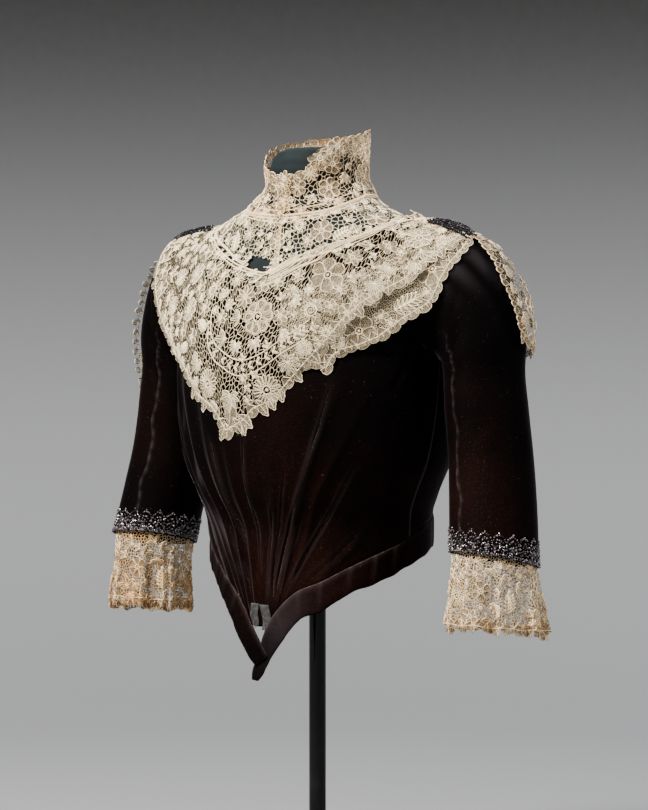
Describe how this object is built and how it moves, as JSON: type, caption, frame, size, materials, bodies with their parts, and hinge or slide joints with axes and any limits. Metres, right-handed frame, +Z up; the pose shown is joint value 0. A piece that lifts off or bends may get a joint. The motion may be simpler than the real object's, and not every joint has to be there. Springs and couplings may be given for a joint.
{
  "type": "bodice on a limbless dress form",
  "caption": "Fitted velvet bodice with a pointed waist, a high lace collar, a lace bertha, beaded cuffs and gathered lace, worn on a dress form with a pole and round base.",
  "frame": {"origin": "the middle of the base's underside", "axes": "+Z up the pole; the front of the bodice faces -Y and the wearer's left is +X"},
  "size_m": [0.5832, 0.32, 0.839],
  "materials": {
    "velvet": "dark brown silk velvet, red-brown and worn where the light strikes it",
    "lace": "ivory needle lace, tanned at the cuffs and the back",
    "jet": "opaque black glass beads, glossy",
    "tape": "grey woven tape",
    "form_cloth": "dark blue-green velvet cover",
    "black_steel": "satin black paint"
  },
  "bodies": {
    "root": {"front_left": "velvet", "front_right": "velvet", "back": "velvet", "sleeve_upper_left": "velvet", "sleeve_upper_right": "velvet", "sleeve_under_left": "velvet", "sleeve_under_right": "velvet", "waist_band_left": "velvet", "waist_band_right": "velvet", "collar_left": "lace", "collar_right": "lace", "yoke_left": "lace", "yoke_right": "lace", "yoke_back": "lace", "bertha_under": "lace", "bertha_over": "lace", "bertha_back": "lace", "cuff_lace_left": "lace", "cuff_lace_right": "lace", "cuff_trim_left": "jet", "cuff_trim_right": "jet", "shoulder_trim_left": "jet", "shoulder_trim_right": "jet", "waist_tape_left": "tape", "waist_tape_right": "tape", "dress_form": "form_cloth", "stand_base": "black_steel", "stand_pole": "black_steel"}
  },
  "joints": []
}
